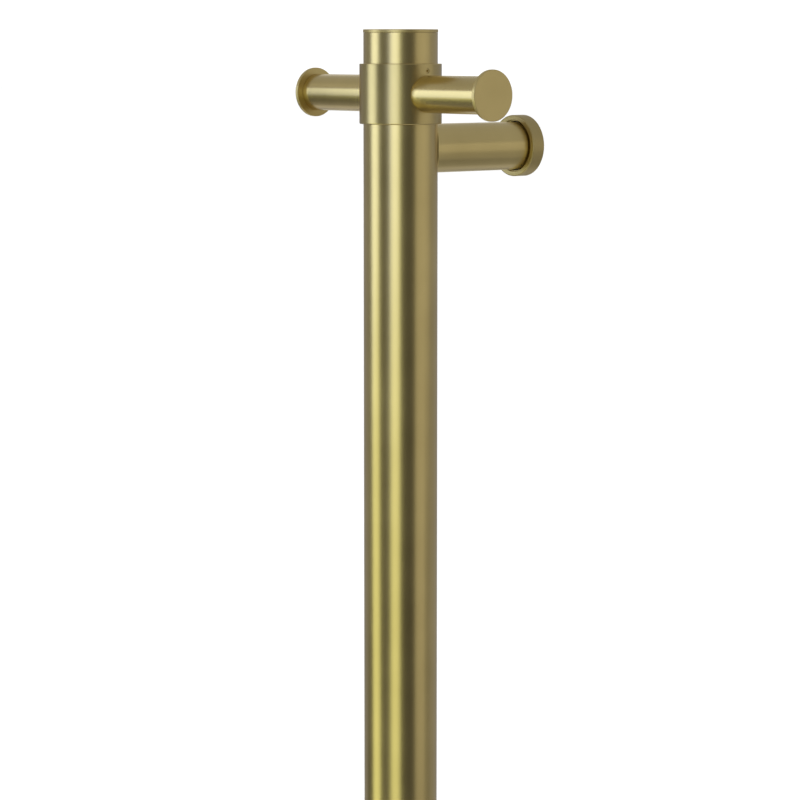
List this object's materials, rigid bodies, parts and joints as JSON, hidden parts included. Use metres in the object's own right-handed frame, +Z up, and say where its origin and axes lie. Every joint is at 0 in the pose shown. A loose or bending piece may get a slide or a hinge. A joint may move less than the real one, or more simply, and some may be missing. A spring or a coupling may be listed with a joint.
{
  "type": "vertical towel warmer rail",
  "caption": "Round vertical heated towel rail on two wall posts, with a sleeve on its top that carries a horizontal cross hook with disc ends.",
  "frame": {"origin": "centre of the upper wall boss's back face, on the wall's surface", "axes": "+Z up along the rail, +Y into the wall, +X to the right along the wall, seen from the room"},
  "size_m": [0.142, 0.1071, 0.9],
  "materials": {
    "satin_brass": "satin brushed brass plating, softly blurred reflections",
    "zinc_steel": "zinc plated, dull",
    "dark_steel": "black oxide, oiled",
    "aluminium": "mill finish",
    "nylon": "natural nylon, slightly waxy",
    "black_rubber": "matt nitrile rubber",
    "heating_silicone": "red-brown silicone sheath, satin",
    "lead_pvc": "black insulated lead, satin"
  },
  "bodies": {
    "root": {"rail_tube": "satin_brass", "top_cap": "satin_brass", "bottom_cap": "satin_brass", "top_cap_o_ring": "black_rubber", "bottom_cap_o_ring": "black_rubber", "heat_spreader_plate": "aluminium", "heating_cable": "heating_silicone", "cable_clip_1": "nylon", "cable_clip_2": "nylon", "cable_clip_3": "nylon", "cable_clip_4": "nylon", "plate_spring_1": "zinc_steel", "plate_spring_2": "zinc_steel", "thermal_cutout": "zinc_steel", "cutout_lead_left": "lead_pvc", "cutout_lead_right": "lead_pvc", "lead_joint": "black_rubber", "supply_lead": "lead_pvc", "lead_bush": "nylon", "lead_grommet": "black_rubber", "upper_post": "satin_brass", "lower_post": "satin_brass", "upper_wall_boss": "zinc_steel", "lower_wall_boss": "zinc_steel", "upper_nut_plate": "zinc_steel", "lower_nut_plate": "zinc_steel", "upper_post_screw_top": "zinc_steel", "upper_post_screw_bottom": "zinc_steel", "lower_post_screw_top": "zinc_steel", "lower_post_screw_bottom": "zinc_steel", "upper_grub_screw": "dark_steel", "lower_grub_screw": "dark_steel"},
    "hook_sleeve": {"hook_liner": "nylon"},
    "hook": {"hook_collar": "satin_brass", "hook_arm_left": "satin_brass", "hook_arm_right": "satin_brass", "hook_disc_left": "satin_brass", "hook_disc_right": "satin_brass", "hook_lock_screw": "satin_brass"},
    "upper_cover": {"upper_cover_ring": "satin_brass", "upper_cover_o_ring": "black_rubber"},
    "lower_cover": {"lower_cover_ring": "satin_brass", "lower_cover_o_ring": "black_rubber"}
  },
  "joints": [
    {"name": "hook_slide", "type": "slide", "parent": "root", "child": "hook_sleeve", "axis": [0, 0, 1], "range_m": [0, 0.04]},
    {"name": "hook_swivel", "type": "hinge", "parent": "hook_sleeve", "child": "hook", "pos_m": [0, -0.086, 0.0283], "axis": [0, 0, 1], "continuous": true},
    {"name": "upper_cover_slide", "type": "slide", "parent": "root", "child": "upper_cover", "axis": [0, -1, 0], "range_m": [0, 0.045]},
    {"name": "lower_cover_slide", "type": "slide", "parent": "root", "child": "lower_cover", "axis": [0, -1, 0], "range_m": [0, 0.045]}
  ]
}
